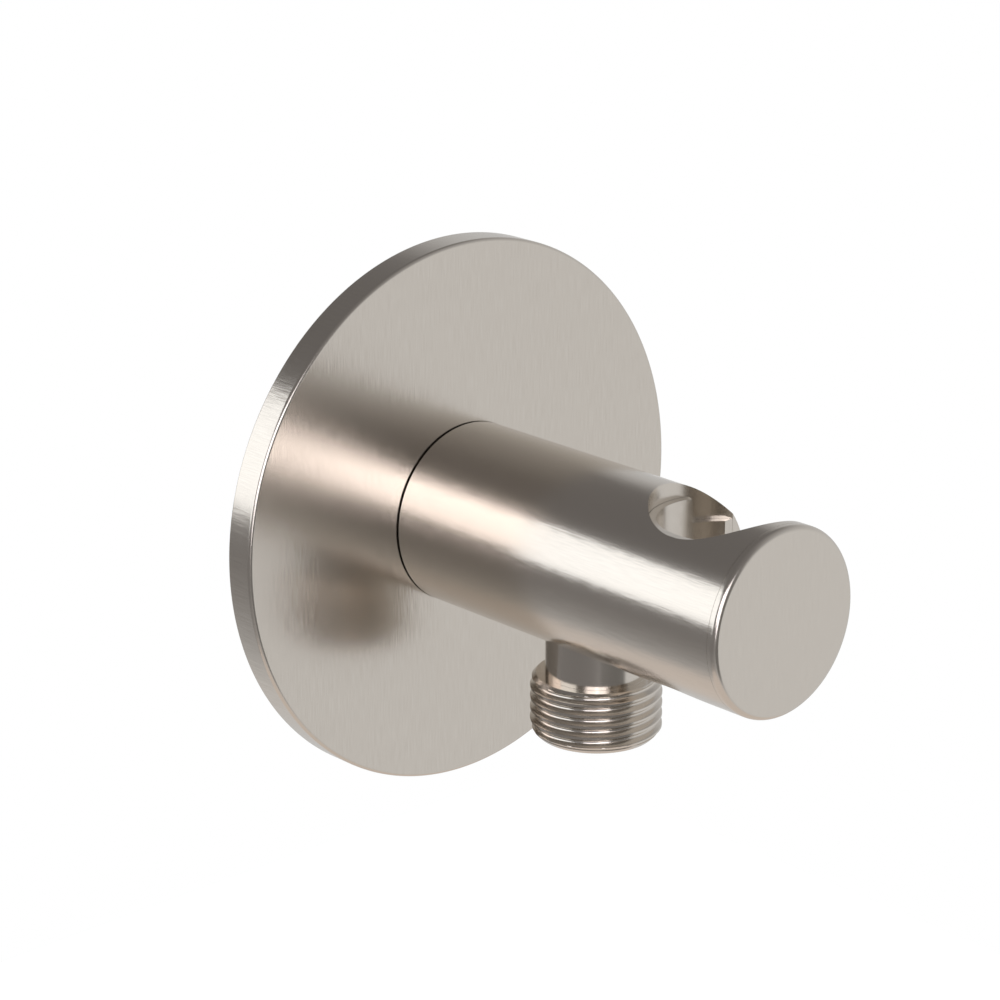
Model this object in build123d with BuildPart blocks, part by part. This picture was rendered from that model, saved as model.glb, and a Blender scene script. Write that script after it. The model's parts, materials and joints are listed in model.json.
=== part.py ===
from build123d import *

import os
from math import sqrt

# Wall outlet elbow for a hand shower, with the cradle for the handset in its arm.
# All sizes are in millimetres. The wall is the plane y = 0 and the arm stands out along -Y.
# +Z is up, and the origin is where the arm's axis meets the wall.

# Pipe thread G 1/2, shared by the wall inlet and the hose outlet, plain at its major radius
pipe_thread_radius = 20.955 / 2

# Wall plate
plate_radius = 45.0
plate_thickness = 5.1
plate_edge_round = 0.6
plate_rim_land = 2.0
plate_seal_width = 2.5
plate_seal_thickness = 1.0
plate_inner_land = 1.5
plate_relief_depth = 1.6
plate_hub_land = 3.4
plate_hole_chamfer = 0.3

# Shadow gap between the wall plate and the arm
plate_gap = 0.3

# Arm of round bar
body_radius = 15.0
body_edge_round = 0.7
spigot_wall = 2.9
spigot_wall_gap = 1.0
socket_depth = 23.4
socket_chamfer = 0.5
waterway_radius = 5.0
drill_point_ratio = 0.6
socket_to_port = 2.88
port_to_cradle = 4.75
cradle_end_wall = 2.87

# Cradle for the handset
cradle_bore_radius = 12.0
cradle_offset = 2.92
cradle_slot_width = 15.3
insert_wall = 1.25
insert_half_height = 11.95
insert_step_drop = 4.0
insert_step_radius = 16.0
insert_step_shift = 15.33
insert_step_round = 1.0
insert_step_fillet = 0.3
radius_tolerance = 0.001
insert_clearance = 0.05

# Inlet nipple
nipple_spigot_radius = 9.45
nipple_thread_length = 14.5
nipple_thread_start = 0.5
nipple_bore_radius = 5.5
nipple_end_chamfer = 1.2
nipple_front_chamfer = 0.6
nipple_end_clearance = 0.4
hex_key_width = 12.0
hex_key_depth = 9.0

# Lock screw, M5, with a cone point in the nipple's vee groove
lock_screw_radius = 2.5
lock_screw_recess = 0.4
lock_screw_key_width = 2.5
lock_screw_key_depth = 2.2
lock_screw_point_radius = 1.0
lock_groove_depth = 1.2
lock_groove_floor = 2.4
lock_groove_from_shoulder = 5.3

# Outlet nipple
neck_radius = 8.1
neck_length = 4.1
outlet_thread_length = 10.1
outlet_top_chamfer = 0.5
outlet_end_chamfer = 1.2
port_seat_land = 1.4
port_thread_wall = 0.65
pilot_wall = 0.85
pilot_length = 1.8
pilot_to_waterway = 0.3
port_reach = 2.5
outlet_bore_radius = 4.6

# Non-return valve in the outlet
valve_bore_radius = 6.25
valve_bore_length = 15.8
valve_flange_width = 0.65
valve_flange_thickness = 1.0
valve_flange_recess = 0.6
valve_inlet_radius = 3.6
valve_inlet_length = 4.5
valve_chamber_wall = 1.2
poppet_head_radius = 4.4
poppet_head_thickness = 1.0
poppet_nose_radius = 3.0
poppet_nose_height = 1.4
poppet_stem_radius = 1.0
poppet_travel = 2.2
valve_seal_thickness = 0.8
guide_rim_width = 1.0
guide_thickness = 1.4
guide_hub_wall = 0.8
guide_spoke_width = 1.0
guide_spoke_count = 3
spring_wire_radius = 0.25
spring_turns = 6

# Rubber cords
seal_cord_depth = 1.35
small_cord_depth = 0.9
groove_width_factor = 1.25

# Fits
slide_clearance = 0.05
thread_clearance = 0.05
plate_hole_clearance = 0.25
seal_clearance = 0.02
stem_clearance = 0.08
seat_clearance = 0.05
spring_side_clearance = 0.2

# Radii that follow from the fits
socket_radius = nipple_spigot_radius + slide_clearance
spigot_radius = socket_radius + spigot_wall
plate_hole_radius = spigot_radius + plate_hole_clearance
port_seat_radius = neck_radius + slide_clearance
port_thread_radius = neck_radius - port_thread_wall + thread_clearance
pilot_radius = neck_radius - port_thread_wall - pilot_wall
port_pilot_radius = pilot_radius + slide_clearance
insert_radius = cradle_bore_radius - insert_clearance
cradle_radius = cradle_bore_radius - insert_wall
valve_radius = valve_bore_radius - slide_clearance
valve_chamber_radius = valve_radius - valve_chamber_wall
valve_flange_radius = valve_radius + valve_flange_width
lock_hole_radius = lock_screw_radius + thread_clearance

# Stations along the arm, as distances from the wall
body_back = plate_thickness + plate_gap
spigot_end = spigot_wall_gap
socket_end = spigot_end + socket_depth
port_station = socket_end + socket_to_port + port_seat_radius
waterway_end = port_station + pilot_radius - waterway_radius
cradle_station = port_station + port_seat_radius + port_to_cradle + cradle_bore_radius
body_front = cradle_station + cradle_bore_radius + cradle_end_wall
body_length = body_front - body_back
nipple_front = socket_end - nipple_end_clearance
seal_groove_width = groove_width_factor * seal_cord_depth
plate_ring_station = (plate_thickness + spigot_end) / 2
lock_station = body_back + lock_groove_from_shoulder
ring_pitch = (nipple_front - lock_station - lock_groove_floor) / 3
back_ring_station = nipple_front - 2 * ring_pitch
front_ring_station = nipple_front - ring_pitch

# Heights along the outlet, as distances below the arm's axis
port_saddle = sqrt(body_radius**2 - port_seat_radius**2)
port_seat_depth = port_saddle - port_seat_land
pilot_top = waterway_radius + pilot_to_waterway
pilot_bottom = pilot_top + pilot_length
outlet_top = body_radius + neck_length
outlet_end = outlet_top + outlet_thread_length
valve_ledge = outlet_end - valve_bore_length
valve_top = valve_ledge + slide_clearance
valve_seat = valve_top + valve_inlet_length
poppet_top = valve_seat + seat_clearance
head_top = poppet_top + valve_seal_thickness
head_bottom = head_top + poppet_head_thickness
valve_end = outlet_end - valve_flange_recess
guide_bottom = valve_end - slide_clearance
guide_top = guide_bottom - guide_thickness
guide_hub_top = head_bottom + poppet_travel + seat_clearance
stem_end = guide_bottom - poppet_travel
small_groove_width = groove_width_factor * small_cord_depth
valve_ring_height = valve_top + valve_inlet_length / 2
outlet_ring_height = (pilot_top + pilot_bottom) / 2

# Working planes: the wall seen from the room, the arm's long section and the outlet's section
wall = Plane(origin=(0, 0, 0), x_dir=(1, 0, 0), z_dir=(0, -1, 0))
arm_section = Plane(origin=(0, 0, 0), x_dir=(1, 0, 0), z_dir=(0, 0, -1))
outlet_section = Plane(origin=(0, -port_station, 0), x_dir=(1, 0, 0), z_dir=(0, 1, 0))
outlet_axis = Axis((0, -port_station, 0), (0, 0, 1))
under_arm = Plane(origin=(0, -port_station, -body_radius), x_dir=(1, 0, 0), z_dir=(0, 0, -1))
cradle_plane = Plane(origin=(cradle_offset, -cradle_station, 0), x_dir=(1, 0, 0), z_dir=(0, 0, 1))

os.makedirs("parts", exist_ok=True)

# Wall plate: a turned disc, relieved at the back, with a groove for the flat seal
seal_groove_outer = plate_radius - plate_rim_land
seal_groove_inner = seal_groove_outer - plate_seal_width
relief_outer = seal_groove_inner - plate_inner_land
relief_inner = plate_hole_radius + plate_hub_land

with BuildPart() as wall_plate:
    with BuildSketch(wall):
        Circle(plate_radius)
        Circle(plate_hole_radius, mode=Mode.SUBTRACT)
    extrude(amount=plate_thickness)
    with BuildSketch(wall):
        Circle(relief_outer)
        Circle(relief_inner, mode=Mode.SUBTRACT)
    extrude(amount=plate_relief_depth, mode=Mode.SUBTRACT)
    with BuildSketch(wall):
        Circle(seal_groove_outer)
        Circle(seal_groove_inner, mode=Mode.SUBTRACT)
    extrude(amount=plate_seal_thickness, mode=Mode.SUBTRACT)
    plate_face = wall_plate.faces().sort_by(Axis.Y)[0]
    fillet(plate_face.outer_wire().edges(), radius=plate_edge_round)
    plate_face = wall_plate.faces().sort_by(Axis.Y)[0]
    chamfer(plate_face.inner_wires()[0].edges(), length=plate_hole_chamfer)
wall_plate.part.label = "wall_plate"
export_step(wall_plate.part, "parts/wall_plate.step")

# Flat rubber ring in the plate's back, flush with the wall
with BuildPart() as plate_seal:
    with BuildSketch(wall):
        Circle(seal_groove_outer - seal_clearance)
        Circle(seal_groove_inner + seal_clearance, mode=Mode.SUBTRACT)
    extrude(amount=plate_seal_thickness)
plate_seal.part.label = "plate_seal"
export_step(plate_seal.part, "parts/plate_seal.step")

# Arm: round bar, bored from the back for the nipple and the water, from below for the outlet
with BuildPart() as holder_body:
    with BuildSketch(wall.offset(body_back)):
        Circle(body_radius)
    extrude(amount=body_length)
    fillet(holder_body.faces().sort_by(Axis.Y)[0].edges(), radius=body_edge_round)
    with BuildSketch(wall.offset(spigot_end)):
        Circle(spigot_radius)
    extrude(amount=body_back - spigot_end)
    with BuildSketch(wall.offset(plate_ring_station - seal_groove_width / 2)):
        Circle(spigot_radius)
        Circle(spigot_radius - seal_cord_depth, mode=Mode.SUBTRACT)
    extrude(amount=seal_groove_width, mode=Mode.SUBTRACT)

    # Nipple socket, the waterway behind it and the drill's point at its end
    with BuildSketch(arm_section):
        with BuildLine():
            Polyline(
                (0, spigot_end),
                (socket_radius + socket_chamfer, spigot_end),
                (socket_radius, spigot_end + socket_chamfer),
                (socket_radius, socket_end),
                (waterway_radius, socket_end),
                (waterway_radius, waterway_end),
                (0, waterway_end + drill_point_ratio * waterway_radius),
                close=True,
            )
        make_face()
    revolve(axis=Axis.Y, mode=Mode.SUBTRACT)

    # Outlet port: seat for the neck, thread and pilot bore into the waterway
    with Locations(under_arm):
        CounterBoreHole(
            radius=port_thread_radius,
            counter_bore_radius=port_seat_radius,
            counter_bore_depth=body_radius - port_seat_depth,
            depth=body_radius - pilot_bottom,
        )
        Hole(radius=port_pilot_radius, depth=body_radius - port_reach)

    # Cradle bore with its slot to the open side
    with BuildSketch(cradle_plane.offset(-body_radius)):
        Circle(cradle_bore_radius)
        with Locations((body_radius, 0)):
            Rectangle(2 * body_radius, cradle_slot_width)
    extrude(amount=2 * body_radius, mode=Mode.SUBTRACT)

    # Tapped hole for the lock screw
    with Locations(Plane(origin=(0, -lock_station, -body_radius), z_dir=(0, 0, -1))):
        Hole(radius=lock_hole_radius, depth=body_radius - socket_radius + lock_hole_radius)
holder_body.part.label = "holder_body"
export_step(holder_body.part, "parts/holder_body.step")

# Cradle insert: sleeve in the cradle bore, opened by the same slot, its top stepped down
def riser_edges(builder):
    """The arcs that the step's cut leaves in a builder's part, grouped from the lowest up."""
    arcs = builder.edges().filter_by(GeomType.CIRCLE)
    step_arcs = arcs.filter_by(lambda arc: abs(arc.radius - insert_step_radius) < radius_tolerance)
    return step_arcs.group_by(Axis.Z)


with BuildPart() as cradle_insert:
    with BuildSketch(cradle_plane.offset(-insert_half_height)):
        Circle(insert_radius)
        Circle(cradle_radius, mode=Mode.SUBTRACT)
        with Locations((cradle_bore_radius, 0)):
            Rectangle(2 * cradle_bore_radius, cradle_slot_width, mode=Mode.SUBTRACT)
    extrude(amount=2 * insert_half_height)
    with BuildSketch(cradle_plane.offset(insert_half_height - insert_step_drop)):
        with Locations((insert_step_shift, 0)):
            Circle(insert_step_radius)
    extrude(amount=insert_step_drop, mode=Mode.SUBTRACT)
    fillet(riser_edges(cradle_insert)[-1], radius=insert_step_round)
    fillet(riser_edges(cradle_insert)[0], radius=insert_step_fillet)
cradle_insert.part.label = "cradle_insert"
export_step(cradle_insert.part, "parts/cradle_insert.step")

# Inlet nipple: thread in the wall, spigot in the arm, key socket in its front end
lock_groove_half_width = lock_groove_floor / 2 + lock_groove_depth

with BuildPart() as inlet_nipple:
    with BuildSketch(arm_section):
        with BuildLine():
            Polyline(
                (nipple_bore_radius, nipple_thread_start - nipple_thread_length),
                (pipe_thread_radius - nipple_end_chamfer, nipple_thread_start - nipple_thread_length),
                (pipe_thread_radius, nipple_thread_start - nipple_thread_length + nipple_end_chamfer),
                (pipe_thread_radius, nipple_thread_start),
                (nipple_spigot_radius, nipple_thread_start),
                (nipple_spigot_radius, lock_station - lock_groove_half_width),
                (nipple_spigot_radius - lock_groove_depth, lock_station - lock_groove_floor / 2),
                (nipple_spigot_radius - lock_groove_depth, lock_station + lock_groove_floor / 2),
                (nipple_spigot_radius, lock_station + lock_groove_half_width),
                (nipple_spigot_radius, nipple_front - nipple_front_chamfer),
                (nipple_spigot_radius - nipple_front_chamfer, nipple_front),
                (nipple_bore_radius, nipple_front),
                close=True,
            )
        make_face()
        with Locations(
            (nipple_spigot_radius, back_ring_station), (nipple_spigot_radius, front_ring_station)
        ):
            Rectangle(
                2 * (seal_cord_depth - slide_clearance), seal_groove_width, mode=Mode.SUBTRACT
            )
    revolve(axis=Axis.Y)
    with BuildSketch(wall.offset(nipple_front)):
        RegularPolygon(radius=hex_key_width / 2, side_count=6, major_radius=False)
    extrude(amount=-hex_key_depth, mode=Mode.SUBTRACT)
inlet_nipple.part.label = "inlet_nipple"
export_step(inlet_nipple.part, "parts/inlet_nipple.step")

# Lock screw: set screw with a flattened cone point and a hexagon socket
lock_point_depth = nipple_spigot_radius - lock_groove_depth + seat_clearance
lock_point_height = lock_screw_radius - lock_screw_point_radius
lock_screw_foot = body_radius - lock_screw_recess

with BuildPart() as lock_screw:
    with BuildSketch(Plane(origin=(0, -lock_station, -lock_screw_foot))):
        Circle(lock_screw_radius)
    extrude(amount=lock_screw_foot - lock_point_depth)
    chamfer(lock_screw.faces().sort_by(Axis.Z)[-1].edges(), length=lock_point_height)
    with BuildSketch(Plane(origin=(0, -lock_station, -lock_screw_foot))):
        RegularPolygon(radius=lock_screw_key_width / 2, side_count=6, major_radius=False)
    extrude(amount=lock_screw_key_depth, mode=Mode.SUBTRACT)
lock_screw.part.label = "lock_screw"
export_step(lock_screw.part, "parts/lock_screw.step")

# Rubber rings on the arm's axis: two on the nipple and one that grips the plate
plate_ring_room = seal_cord_depth + plate_hole_clearance

for label, bore, station, room in (
    ("inlet_o_ring_back", socket_radius, back_ring_station, seal_cord_depth),
    ("inlet_o_ring_front", socket_radius, front_ring_station, seal_cord_depth),
    ("plate_o_ring", plate_hole_radius, plate_ring_station, plate_ring_room),
):
    with BuildPart() as arm_ring:
        with BuildSketch(arm_section):
            with Locations((bore - room / 2, station)):
                Circle(room / 2 - seal_clearance)
        revolve(axis=Axis.Y)
    arm_ring.part.label = label
    export_step(arm_ring.part, f"parts/{label}.step")

# Outlet nipple: pilot and thread in the arm, plain neck, then the G 1/2 end for the hose
with BuildPart() as outlet_nipple:
    with BuildSketch(outlet_section):
        with BuildLine():
            Polyline(
                (outlet_bore_radius, pilot_top),
                (pilot_radius, pilot_top),
                (pilot_radius, pilot_bottom),
                (port_thread_radius - thread_clearance, pilot_bottom),
                (port_thread_radius - thread_clearance, port_seat_depth),
                (neck_radius, port_seat_depth),
                (neck_radius, outlet_top),
                (pipe_thread_radius - outlet_top_chamfer, outlet_top),
                (pipe_thread_radius, outlet_top + outlet_top_chamfer),
                (pipe_thread_radius, outlet_end - outlet_end_chamfer),
                (pipe_thread_radius - outlet_end_chamfer, outlet_end),
                (valve_flange_radius + slide_clearance, outlet_end),
                (valve_flange_radius + slide_clearance, valve_end - valve_flange_thickness),
                (valve_bore_radius, valve_end - valve_flange_thickness),
                (valve_bore_radius, valve_ledge),
                (outlet_bore_radius, valve_ledge),
                close=True,
            )
        make_face()
        with Locations((pilot_radius, outlet_ring_height)):
            Rectangle(
                2 * (small_cord_depth - slide_clearance), small_groove_width, mode=Mode.SUBTRACT
            )
    revolve(axis=outlet_axis)
outlet_nipple.part.label = "outlet_nipple"
export_step(outlet_nipple.part, "parts/outlet_nipple.step")

# Valve housing: moulded cartridge with its inlet, seat and chamber, flanged at the bottom
guide_seat_radius = valve_chamber_radius + guide_rim_width / 2 - slide_clearance

with BuildPart() as valve_housing:
    with BuildSketch(outlet_section):
        with BuildLine():
            Polyline(
                (valve_inlet_radius, valve_top),
                (valve_radius, valve_top),
                (valve_radius, valve_end - valve_flange_thickness + slide_clearance),
                (valve_flange_radius, valve_end - valve_flange_thickness + slide_clearance),
                (valve_flange_radius, valve_end),
                (guide_seat_radius, valve_end),
                (guide_seat_radius, guide_top - slide_clearance),
                (valve_chamber_radius, guide_top - slide_clearance),
                (valve_chamber_radius, valve_seat),
                (valve_inlet_radius, valve_seat),
                close=True,
            )
        make_face()
        with Locations((valve_radius, valve_ring_height)):
            Rectangle(
                2 * (small_cord_depth - slide_clearance), small_groove_width, mode=Mode.SUBTRACT
            )
    revolve(axis=outlet_axis)
valve_housing.part.label = "valve_housing"
export_step(valve_housing.part, "parts/valve_housing.step")

# Small rubber rings on the outlet's axis
for label, bore, height in (
    ("outlet_o_ring", port_pilot_radius, outlet_ring_height),
    ("valve_o_ring", valve_bore_radius, valve_ring_height),
):
    with BuildPart() as outlet_ring:
        with BuildSketch(outlet_section):
            with Locations((bore - small_cord_depth / 2, height)):
                Circle(small_cord_depth / 2 - seal_clearance)
        revolve(axis=outlet_axis)
    outlet_ring.part.label = label
    export_step(outlet_ring.part, f"parts/{label}.step")

# Poppet: guiding nose in the inlet, head under the seal ring, stem in the guide
with BuildPart() as valve_poppet:
    with BuildSketch(outlet_section):
        with BuildLine():
            Polyline(
                (0, head_top - valve_seal_thickness - poppet_nose_height),
                (poppet_nose_radius / 2, head_top - valve_seal_thickness - poppet_nose_height),
                (poppet_nose_radius, head_top - valve_seal_thickness),
                (poppet_nose_radius, head_top),
                (poppet_head_radius, head_top),
                (poppet_head_radius, head_bottom),
                (poppet_stem_radius, head_bottom),
                (poppet_stem_radius, stem_end),
                (0, stem_end),
                close=True,
            )
        make_face()
    revolve(axis=outlet_axis)
valve_poppet.part.label = "valve_poppet"
export_step(valve_poppet.part, "parts/valve_poppet.step")

# Seal ring on the poppet's head
with BuildPart() as valve_seal:
    with BuildSketch(Plane(origin=(0, -port_station, -head_top))):
        Circle(poppet_head_radius)
        Circle(poppet_nose_radius, mode=Mode.SUBTRACT)
    extrude(amount=valve_seal_thickness)
valve_seal.part.label = "valve_seal"
export_step(valve_seal.part, "parts/valve_seal.step")

# Guide: rim in the housing's mouth, spokes and a hub for the poppet's stem
guide_rim_radius = guide_seat_radius - slide_clearance
guide_bore_radius = poppet_stem_radius + stem_clearance
guide_hub_radius = guide_bore_radius + guide_hub_wall

with BuildPart() as valve_guide:
    with BuildSketch(Plane(origin=(0, -port_station, -guide_bottom))):
        Circle(guide_rim_radius)
        Circle(guide_rim_radius - guide_rim_width, mode=Mode.SUBTRACT)
        with PolarLocations(0, guide_spoke_count):
            Rectangle(
                guide_rim_radius - guide_rim_width / 2,
                guide_spoke_width,
                align=(Align.MIN, Align.CENTER),
            )
    extrude(amount=guide_thickness)
    with BuildSketch(Plane(origin=(0, -port_station, -guide_bottom))):
        Circle(guide_hub_radius)
    extrude(amount=guide_bottom - guide_hub_top)
    with BuildSketch(Plane(origin=(0, -port_station, -guide_bottom))):
        Circle(guide_bore_radius)
    extrude(amount=guide_bottom - guide_hub_top, mode=Mode.SUBTRACT)
valve_guide.part.label = "valve_guide"
export_step(valve_guide.part, "parts/valve_guide.step")

# Return spring: round wire coiled between the guide's spokes and the poppet's head
spring_radius = guide_hub_radius + spring_side_clearance + spring_wire_radius
spring_foot = guide_top - spring_wire_radius - seal_clearance
spring_height = spring_foot - head_bottom - spring_wire_radius - seal_clearance

with BuildPart() as valve_spring:
    with BuildLine(Plane(origin=(0, -port_station, -spring_foot))):
        spring_path = Helix(
            pitch=spring_height / spring_turns, height=spring_height, radius=spring_radius
        )
    with BuildSketch(Plane(origin=spring_path @ 0, z_dir=spring_path % 0)):
        Circle(spring_wire_radius)
    sweep()
valve_spring.part.label = "valve_spring"
export_step(valve_spring.part, "parts/valve_spring.step")
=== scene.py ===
# %% [markdown]
# # Wall outlet elbow with a handset cradle, in brushed nickel
# A round plate sits on the wall, a round arm stands out of it, and under the arm is the threaded
# end for the shower hose. Near the free end a vertical bore with a side slot takes the handset.
# The solids come from the CAD model, so this file adds what CAD leaves out: the screw threads, the
# fine rounds on the plate and on the arm's end, the grain of the brushed metal, the finishes of the
# inner pieces, the light and the camera.

import json
import math

import bmesh
import bpy
import numpy as np
from mathutils import Matrix, Quaternion, Vector


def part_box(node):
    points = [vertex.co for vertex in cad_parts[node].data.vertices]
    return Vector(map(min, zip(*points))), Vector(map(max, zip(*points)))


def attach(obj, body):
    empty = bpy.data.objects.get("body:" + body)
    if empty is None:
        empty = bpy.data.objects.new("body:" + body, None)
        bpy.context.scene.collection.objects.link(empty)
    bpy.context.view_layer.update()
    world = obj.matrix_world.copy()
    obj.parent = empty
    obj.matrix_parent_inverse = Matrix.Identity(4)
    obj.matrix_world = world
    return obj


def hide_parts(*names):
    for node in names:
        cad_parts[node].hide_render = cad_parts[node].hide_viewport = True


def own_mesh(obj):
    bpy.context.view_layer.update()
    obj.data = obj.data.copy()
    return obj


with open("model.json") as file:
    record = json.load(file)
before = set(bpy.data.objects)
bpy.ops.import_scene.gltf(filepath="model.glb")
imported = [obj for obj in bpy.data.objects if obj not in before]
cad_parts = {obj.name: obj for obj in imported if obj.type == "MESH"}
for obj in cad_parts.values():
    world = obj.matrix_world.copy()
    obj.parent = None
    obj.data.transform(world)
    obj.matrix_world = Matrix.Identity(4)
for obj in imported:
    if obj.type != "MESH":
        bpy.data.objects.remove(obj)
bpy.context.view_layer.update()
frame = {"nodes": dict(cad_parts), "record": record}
nodes = frame["nodes"]
print("nodes:", ", ".join(sorted(nodes)))

# %% [markdown]
# ## Camera
# The photograph was taken from the left and a little above, with a long lens. The place and the
# lens were solved from the outlines of the plate, the arm and the outlet. A camera looks along its
# own -Z, so its matrix has the picture's right, its up and the reverse of the view as columns.

# %% Camera
camera_place = np.array([-0.33975, -0.38328, 0.17329])
camera_turn = math.radians(-42.534)
camera_drop = math.radians(18.629)
picture_width = 1000
focal_pixels = 3308.19

view = np.array([
    -math.sin(camera_turn) * math.cos(camera_drop),
    math.cos(camera_turn) * math.cos(camera_drop),
    -math.sin(camera_drop),
])
picture_right = np.array([math.cos(camera_turn), math.sin(camera_turn), 0.0])
picture_up = np.cross(picture_right, view)

camera_data = bpy.data.cameras.new("camera")
camera_data.sensor_width = 36.0
camera_data.lens = focal_pixels / picture_width * camera_data.sensor_width
camera_data.clip_start = 0.01
camera = bpy.data.objects.new("camera", camera_data)
bpy.context.scene.collection.objects.link(camera)
turned = np.eye(4)
turned[:3, 0] = picture_right
turned[:3, 1] = picture_up
turned[:3, 2] = -view
turned[:3, 3] = camera_place
camera.matrix_world = Matrix(turned.tolist())
bpy.context.scene.camera = camera
bpy.context.scene.view_settings.view_transform = "Standard"
print("lens", round(camera_data.lens, 1), "mm")

# %% [markdown]
# ## Helpers for node trees
# Every finish is a small tree of nodes. These helpers keep the cells short: one adds a node, sets
# its properties and connects or fills its inputs, and the others make the common nodes, an empty
# material and an empty node group with named sockets.

# %% Node helpers
def add_node(tree, kind, inputs=None, **properties):
    """Adds a node. An input is a socket to connect, or a value to write into the socket."""
    node = tree.nodes.new(kind)
    for key, value in properties.items():
        setattr(node, key, value)
    for key, value in (inputs or {}).items():
        socket = node.inputs[key]
        if isinstance(value, bpy.types.NodeSocket):
            tree.links.new(value, socket)
        else:
            socket.default_value = value
    return node


def math_node(tree, operation, *values, clamp=False):
    """The result of one operation on numbers."""
    node = add_node(
        tree, "ShaderNodeMath", dict(enumerate(values)), operation=operation, use_clamp=clamp
    )
    return node.outputs[0]


def vector_node(tree, operation, *values):
    """The result of one operation on vectors: a number for a dot product, otherwise a vector."""
    node = add_node(tree, "ShaderNodeVectorMath", dict(enumerate(values)), operation=operation)
    return node.outputs["Value" if operation == "DOT_PRODUCT" else "Vector"]


def mix_node(tree, data_type, share, first, second):
    """From the first to the second as the share goes from 0 to 1."""
    node = add_node(
        tree, "ShaderNodeMix", {"Factor": share, "A": first, "B": second}, data_type=data_type
    )
    return node.outputs["Result"]


def smooth_step(tree, value, low, high, bottom=0.0, top=1.0):
    """From bottom to top while the value goes from low to high, eased at both ends."""
    node = add_node(
        tree, "ShaderNodeMapRange",
        {"Value": value, "From Min": low, "From Max": high, "To Min": bottom, "To Max": top},
        interpolation_type="SMOOTHSTEP",
    )
    return node.outputs[0]


def new_finish(name):
    """A material with an empty tree, and that tree."""
    finish = bpy.data.materials.new(name)
    finish.use_nodes = True
    finish.node_tree.nodes.clear()
    return finish, finish.node_tree


def new_group(name, inputs, outputs):
    """A node group whose sockets are given as (name, type, default)."""
    tree = bpy.data.node_groups.new(name, "ShaderNodeTree")
    for label, kind, default in inputs:
        socket = tree.interface.new_socket(label, in_out="INPUT", socket_type=kind)
        if default is not None:
            socket.default_value = default
    for label, kind in outputs:
        tree.interface.new_socket(label, in_out="OUTPUT", socket_type=kind)
    return tree, tree.nodes.new("NodeGroupInput"), tree.nodes.new("NodeGroupOutput")


print("helpers ready")

# %% [markdown]
# ## Studio surroundings
# Polished or brushed metal has hardly any colour of its own: it shows the room. A product studio
# is a dark room with a few large pale boards, and the boards are what draws the form of a round bar.
# The boards could be planes in the scene, but a world whose tone follows from the direction alone
# renders faster and stands in no camera's way. Round the arm's axis the tone changes from the dark
# ceiling to the pale boards on the right. One ramp holds the wall side of the room, another the front.

# %% World
# Angles in degrees from +X (the right) over +Z (up), each with its tone.
room_tones_wall_side = [
    (0, 0.63), (24, 0.59), (36, 0.42), (50, 0.20), (70, 0.18), (120, 0.17), (185, 0.20),
    (205, 0.225), (226, 0.32), (250, 0.505), (262, 0.61), (272, 0.66), (290, 0.66), (345, 0.64),
]
room_tones_front_side = [
    (0, 0.74), (22, 0.62), (46, 0.45), (64, 0.36), (90, 0.22), (130, 0.18), (185, 0.20),
    (205, 0.22), (226, 0.36), (250, 0.60), (274, 0.66), (298, 0.66), (314, 0.755), (345, 0.755),
]
sides_blend = 0.55
warm_below, warm_span = 0.5, 0.3
warm_green_loss, warm_blue_loss = 0.04, 0.05


def tone_ramp(tree, angle_share, tones):
    """A ramp over one full turn about the arm's axis, from (angle in degrees, tone) pairs.

    A tone below warm_below is a little warm, fully so from warm_span lower: it loses a small
    share of its green and of its blue."""
    ramp = add_node(tree, "ShaderNodeValToRGB", {"Fac": angle_share})
    stops = ramp.color_ramp.elements
    pairs = tones + [(360, tones[0][1])]
    while len(stops) < len(pairs):
        stops.new(0.5)
    for stop, (angle, tone) in zip(stops, pairs):
        stop.position = angle / 360
        warm = min(max((warm_below - tone) / warm_span, 0), 1)
        stop.color = (tone, tone * (1 - warm_green_loss * warm), tone * (1 - warm_blue_loss * warm), 1)
    return ramp.outputs["Color"]


world = bpy.data.worlds.new("studio_room")
bpy.context.scene.world = world
world.use_nodes = True
room = world.node_tree
room.nodes.clear()
toward = add_node(room, "ShaderNodeTexCoord").outputs["Generated"]
parts = add_node(room, "ShaderNodeSeparateXYZ", {"Vector": toward})
turn = math_node(room, "ARCTAN2", parts.outputs["Z"], parts.outputs["X"])
turn_share = math_node(room, "ADD", math_node(room, "DIVIDE", turn, 2 * math.pi), 1.0)
turn_share = math_node(room, "FRACT", turn_share)
wall_side = smooth_step(room, parts.outputs["Y"], -sides_blend, sides_blend)
tone = mix_node(
    room, "RGBA", wall_side, tone_ramp(room, turn_share, room_tones_front_side),
    tone_ramp(room, turn_share, room_tones_wall_side),
)
print("world tones:", len(room_tones_wall_side), "and", len(room_tones_front_side), "stops")

# %% [markdown]
# ## Patches of the room
# Three round patches lie over the ramps: the warm table below, a dark board ahead and the white
# backdrop. To the camera the whole backdrop is plain white. Mirrored rays meet it only as a patch
# behind the part, because the dark room beside it is what gives the metal its contrast.

# %% Patches
table_toward = (0.0, 0.0, -1.0)
table_tone = (0.74, 0.67, 0.62, 1)
front_board_toward = (-0.10, -0.97, -0.20)
front_board_tone = (0.19, 0.185, 0.18, 1)
backdrop_toward = tuple(float(v) for v in view)
backdrop_tone = (1, 1, 1, 1)
toward_unit = vector_node(room, "NORMALIZE", toward)


def round_patch(direction, outer, inner):
    """1 inside the inner and 0 outside the outer half angle of a cone about the direction.

    Both angles are in degrees. The cosine of the angle to the direction is the dot product."""
    near = vector_node(room, "DOT_PRODUCT", toward_unit, tuple(Vector(direction).normalized()))
    return smooth_step(room, near, math.cos(math.radians(outer)), math.cos(math.radians(inner)))


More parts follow.
